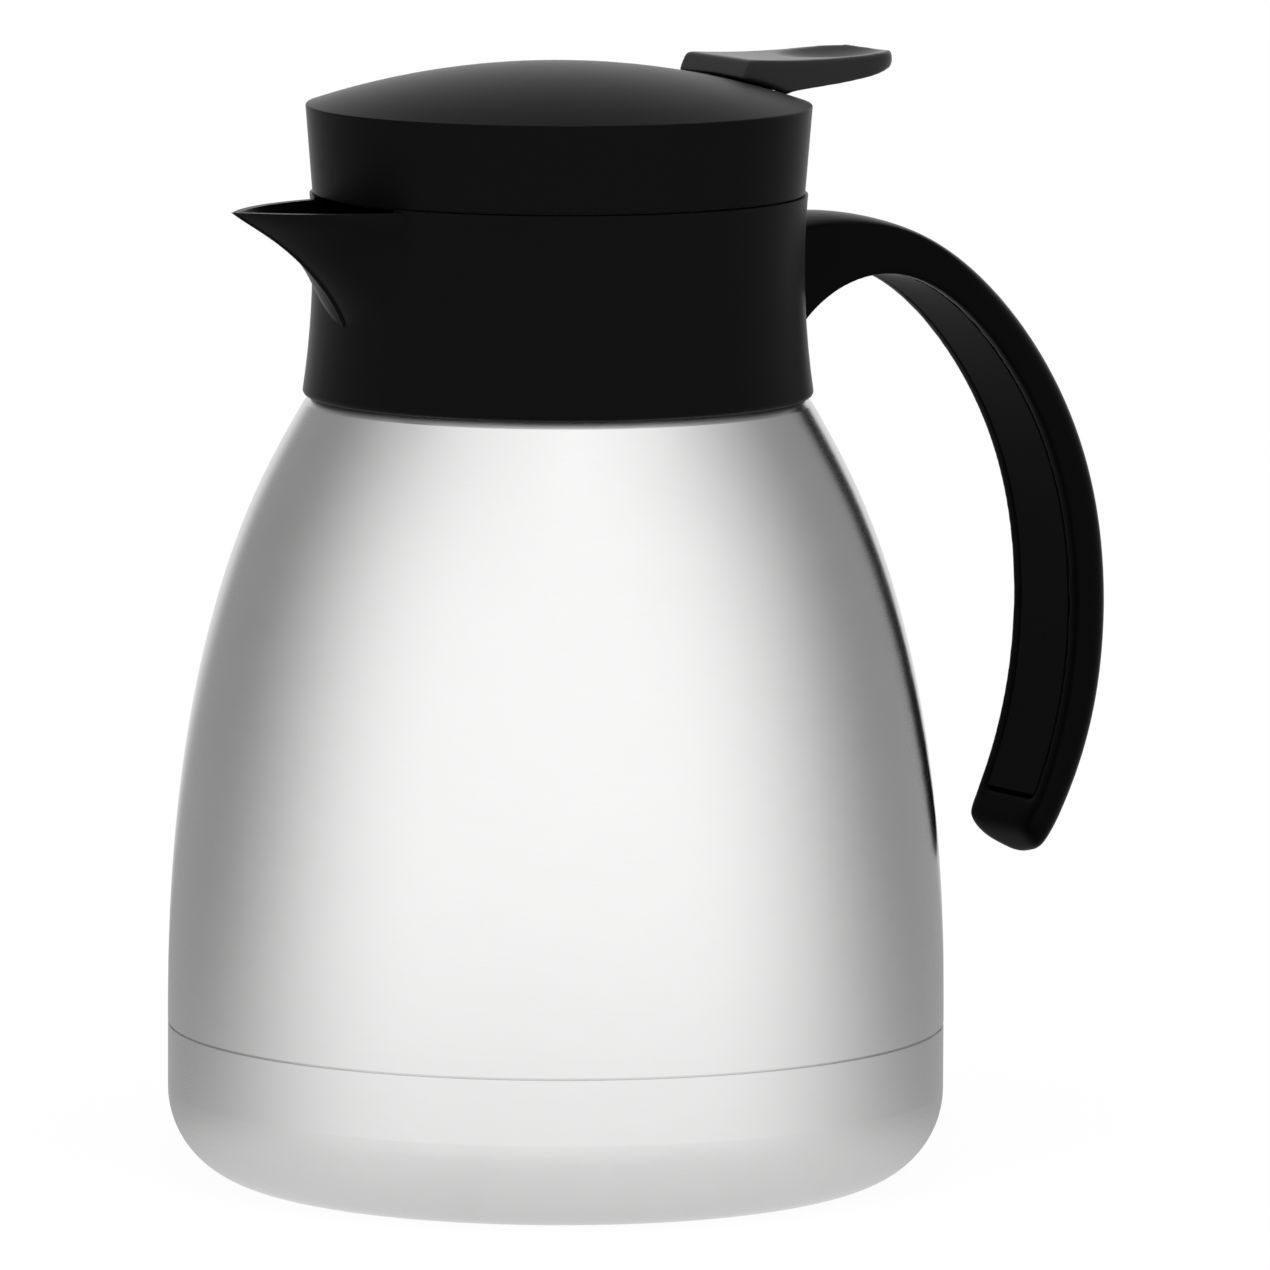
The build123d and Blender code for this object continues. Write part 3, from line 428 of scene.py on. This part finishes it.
def softened(nodeName, name, look, extra, shift, body):
    # a merged copy of the CAD mesh is remeshed finely and shifted, then every point moves towards
    # the mean of its neighbours, for some rounds everywhere and for more where extra is near 1
    work = bmesh.new()
    work.from_mesh(nodes[nodeName].data)
    bmesh.ops.remove_doubles(work, verts=work.verts, dist=mergeDistance)
    mesh = bpy.data.meshes.new(name)
    work.to_mesh(mesh)
    work.free()
    piece = bpy.data.objects.new(name, mesh)
    bpy.context.scene.collection.objects.link(piece)
    remesh = piece.modifiers.new("even", "REMESH")
    remesh.mode, remesh.voxel_size = "VOXEL", look["voxel"]
    graph = bpy.context.evaluated_depsgraph_get()
    fine = bpy.data.meshes.new_from_object(piece.evaluated_get(graph))
    piece.modifiers.clear()
    piece.data = fine

    count = len(fine.vertices)
    points = np.empty(3 * count)
    fine.vertices.foreach_get("co", points)
    points = points.reshape(-1, 3)
    ends = np.empty(2 * len(fine.edges), dtype=np.int64)
    fine.edges.foreach_get("vertices", ends)
    here = np.concatenate((ends[::2], ends[1::2]))
    there = np.concatenate((ends[1::2], ends[::2]))
    neighbours = np.bincount(here, minlength=count)[:, None]
    weight = np.clip(extra(points), 0, 1)[:, None]
    points = points + shift(points)
    for step in range(look["rounds"] + look["extraRounds"]):
        sums = [np.bincount(here, points[there, axis], count) for axis in range(3)]
        mean = np.stack(sums, -1) / neighbours
        points = points + (mean - points) * pull * (1 if step < look["rounds"] else weight)
    fine.vertices.foreach_set("co", points.ravel())

    fine.shade_smooth()
    fine.update()
    fine.materials.clear()
    fine.materials.append(finishes[wears[nodeName]])
    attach(piece, body)
    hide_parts(nodeName)
    return piece


def ramp(values, low, high):  # 0 at low, 1 at high, straight between
    return (values - low) / (high - low)


# Thumb lever: rounded edges, more so at the tail, and lower corners that hang over the dome.
lever = {
    "voxel": 0.36 * mm,
    "rounds": 10,
    "extraRounds": 14,
    "tail": (52 * mm, 64 * mm),  # the extra rounds fade in between these, along x
    "heel": 43.4 * mm,  # middle of the lowered corners, along x
    "heelReach": 5.5 * mm,
    "heelSides": (8.5 * mm, 10.5 * mm),  # they fade in between these, out from the middle
    "heelHeight": (211.0 * mm, 209.9 * mm),  # and between these, downwards
    "heelDrop": 0.50 * mm,
}


def leverTail(place):  # 0 up to where the tail begins, rising straight to 1 at its end
    return ramp(place[:, 0], *lever["tail"])


def leverHeel(place):  # a bell curve along x, on the two sides and the underside, pointing down
    along = np.exp(-((place[:, 0] - lever["heel"]) / lever["heelReach"]) ** 2)
    sides = np.clip(ramp(np.abs(place[:, 1]), *lever["heelSides"]), 0, 1)
    under = np.clip(ramp(place[:, 2], *lever["heelHeight"]), 0, 1)
    return (along * sides * under * lever["heelDrop"])[:, None] * np.array((0, 0, -1))


softened("thumb_lever", "softLever", lever, leverTail, leverHeel, "lever")

# Handle grip: rounded edges and a full, round end.
grip = {
    "voxel": 0.50 * mm,
    "rounds": 5,
    "extraRounds": 95,
    "end": (101.2 * mm, 0, 63.3 * mm),  # middle of the end face
    "facing": (-0.785, 0, -0.62),  # the way it points
    "depth": 7 * mm,  # the extra rounds fade out this far behind it
    "push": 1.5 * mm,  # the end is drawn out by this before its rounding shrinks it
}
gripFacing = np.array(grip["facing"])


def gripEnd(place):  # 1 on the end face, falling with the square to 0 at depth behind it
    ahead = (place - np.array(grip["end"])) @ gripFacing
    return np.clip(ramp(ahead, -grip["depth"], 0), 0, 1) ** 2


def gripDraw(place):  # the end face moves the way it points, and what is behind it moves less
    return gripEnd(place)[:, None] * gripFacing * grip["push"]


softened("handle_grip", "softGrip", grip, gripEnd, gripDraw, "vessel")
print("lever and grip softened")

# Return spring: point(u, v) is a circle v of the wire's radius carried along a helix u, which
# turns close and flat over its first and last coil.
coil = {
    "radius": 5.0 * mm,
    "wire": 0.5 * mm,
    "bottom": 162.75 * mm,
    "top": 182.25 * mm,
    "turns": 6.5,
    "deadTurns": 0.9,  # close turns at each end
    "deadClimb": 0.1,  # share of the height climbed evenly over all the turns
    "steps": 420,
    "round": 12,
    "pressed": 0.672,  # its length with the valve fully open, as a share
}
u = np.linspace(0, 1, coil["steps"])
dead = coil["deadTurns"] / coil["turns"]
pitch = np.clip((u - dead) / (1 - 2 * dead), 0, 1)
low, high = coil["bottom"] + coil["wire"], coil["top"] - coil["wire"]
climb = low + (high - low) * (pitch * (1 - coil["deadClimb"]) + u * coil["deadClimb"])
angle = 2 * np.pi * coil["turns"] * u
helix = turned(coil["radius"], angle, climb)
ahead = np.gradient(helix, axis=0)
ahead /= np.linalg.norm(ahead, axis=1)[:, None]
outward = turned(1.0, angle, 0 * u)
upward = np.cross(ahead, outward)
upward /= np.linalg.norm(upward, axis=1)[:, None]
v = np.linspace(0, 2 * np.pi, coil["round"], endpoint=False)[None, :, None]
section = np.cos(v) * outward[:, None, :] + np.sin(v) * upward[:, None, :]
points = (helix[:, None, :] + coil["wire"] * section).reshape(-1, 3)
faces = tubeFaces(coil["steps"], coil["round"])
spring = addPiece("coilSpring", points, faces, finishes["fastener"], "lid")
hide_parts("return_spring")
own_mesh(spring)
print("return spring wound")

# Floor and tent: white paper under a white tent, bright in front and behind, dimmer at the sides.
studio = {
    "floorSize": 6.0,
    "floorColor": (0.86, 0.86, 0.86),
    "floorRoughness": 0.9,
    "floorWhite": 0.90,  # share of plain white that the eye sees of the floor
    "floorGlow": 1.04,
    "azimuth": 31.0,  # of the bright front, round from -y
    "front": 1.72,
    "side": 0.42,
    "rear": 0.98,
    "frontFade": (-0.55, 0.80),  # from side to front as the direction turns to the front
    "rearFade": (-0.97, -0.86),  # and from rear to side
    "near": (0.24, 0.37),  # painted shade on the mirrored floor close round the foot: a level, and a share of the tent
    "far": 0.80,  # painted light on the mirrored floor further out, as a share of the tent above it
    "shadeToLightFade": (0.04, 0.35),  # from the painted shade to the painted light, in metres from the axis
    "middle": 0.02,  # keeps the floor's direction calm close to the axis
}
turn = radians(studio["azimuth"])
front = Vector((-sin(turn), -cos(turn), 0.0))
half = studio["floorSize"] / 2
corners = [(-half, -half, 0), (half, -half, 0), (half, half, 0), (-half, half, 0)]
floorMesh = bpy.data.meshes.new("floor")
floorMesh.from_pydata(corners, [], [(0, 1, 2, 3)])
floor = bpy.data.objects.new("floor", floorMesh)
bpy.context.scene.collection.objects.link(floor)


def tent(facing):  # brightness of the tent: facing is 1 in front of the carafe, -1 behind it
    side = studio["side"]
    glow = side + facing.step(*studio["frontFade"]) * (studio["front"] - side)
    return glow + (1.0 - facing.step(*studio["rearFade"])) * (studio["rear"] - side)


def facingFront(tree, place):  # how far a place or direction points to the bright front
    settings = {"operation": "DOT_PRODUCT"}
    dot = addNode(tree, "ShaderNodeVectorMath", settings, {0: place, 1: front})
    return Value(tree, dot.outputs["Value"])


def seenBy(tree, *rays):  # 1 for a ray of any of these kinds, otherwise 0
    path = addNode(tree, "ShaderNodeLightPath")
    kinds = [Value(tree, path.outputs[f"Is {ray} Ray"]) for ray in rays]
    seen = kinds[0]
    for kind in kinds[1:]:
        seen = seen.atLeast(kind)
    return seen


paper = Finish("floorPaper", studio["floorColor"], studio["floorRoughness"])
seen = seenBy(paper.tree, "Camera", "Transmission")
mirrored = seenBy(paper.tree, "Glossy")
distance = paper.radius()
# What the steel mirrors of the floor is painted light: a glow brighter towards the tent's bright
# front, with painted shade close round the foot.
glow = tent(facingFront(paper.tree, paper.place) / (distance + studio["middle"]))
close = studio["near"][0] + glow * studio["near"][1]
glow = close + (glow * studio["far"] - close) * distance.step(*studio["shadeToLightFade"])
strength = seen * studio["floorGlow"] + (1.0 - seen) * glow
white = paper.node("ShaderNodeEmission", None, {"Color": (1, 1, 1, 1), "Strength": strength})
blend = paper.node("ShaderNodeMixShader", None, {
    0: seen.atLeast(mirrored) * studio["floorWhite"],
    1: paper.shader.outputs["BSDF"],
    2: white.outputs["Emission"],
})
paper.tree.links.new(blend.outputs["Shader"], paper.out.inputs["Surface"])
floorMesh.materials.append(paper.material)

world = bpy.data.worlds.new("studio")
bpy.context.scene.world = world
world.use_nodes = True
sky = world.node_tree
sky.nodes.clear()
direction = addNode(sky, "ShaderNodeTexCoord").outputs["Generated"]
seen = seenBy(sky, "Camera", "Transmission")
level = tent(facingFront(sky, direction)) * (1.0 - seen) + seen
backdrop = addNode(sky, "ShaderNodeBackground", None, {"Strength": level})
addNode(sky, "ShaderNodeOutputWorld", None, {"Surface": backdrop.outputs["Background"]})

# Top light: one soft square above the carafe.
topLight = {
    "azimuth": 10,
    "height": 1.7,
    "distance": 0.3,  # out from the axis
    "size": 1.2,
    "power": 1.5,
    "aim": (0, 0, 0.11),
}
light = bpy.data.lights.new("topLight", "AREA")
light.shape, light.size, light.size_y = "RECTANGLE", topLight["size"], topLight["size"]
light.energy = topLight["power"]
lamp = bpy.data.objects.new("topLight", light)
bpy.context.scene.collection.objects.link(lamp)
turn, away = radians(topLight["azimuth"]), topLight["distance"]
lamp.location = (away * sin(turn), -away * cos(turn), topLight["height"])
aimLine = Vector(topLight["aim"]) - lamp.location
lamp.rotation_euler = aimLine.to_track_quat("-Z", "Y").to_euler()
print("studio ready")

# Camera: a long lens, round to the spout's side and a little above.
camera = {
    "azimuth": 31.0,
    "elevation": 7.17,
    "roll": 0.25,
    "distance": 2.700,
    "aim": (15 * mm, 105.4 * mm),  # sideways and up
    "pixel": 0.1928 * mm,  # what one pixel covers at the aim
    "pixels": 1270,  # across the frame
    "sensor": 36.0,
    "clip": (0.1, 20.0),
}
turn, rise, lean = (radians(camera[angle]) for angle in ("azimuth", "elevation", "roll"))
aside, above = camera["aim"]
aim = Vector((aside * cos(turn), -aside * sin(turn), above))
back = Vector((-sin(turn) * cos(rise), -cos(turn) * cos(rise), sin(rise)))
right = Vector((cos(turn), -sin(turn), 0))
up = back.cross(right)
rightLean = right * cos(lean) + up * sin(lean)
upLean = up * cos(lean) - right * sin(lean)
lens = bpy.data.cameras.new("camera")
lens.sensor_width = camera["sensor"]
frameWidth = camera["pixel"] * camera["pixels"]
lens.lens = camera["distance"] / frameWidth * lens.sensor_width
lens.clip_start, lens.clip_end = camera["clip"]
eye = bpy.data.objects.new("camera", lens)
bpy.context.scene.collection.objects.link(eye)
axes = Matrix((rightLean, upLean, back)).transposed().to_4x4()
eye.matrix_world = Matrix.Translation(aim + back * camera["distance"]) @ axes
bpy.context.scene.camera = eye

bpy.context.scene.view_settings.view_transform = "Standard"
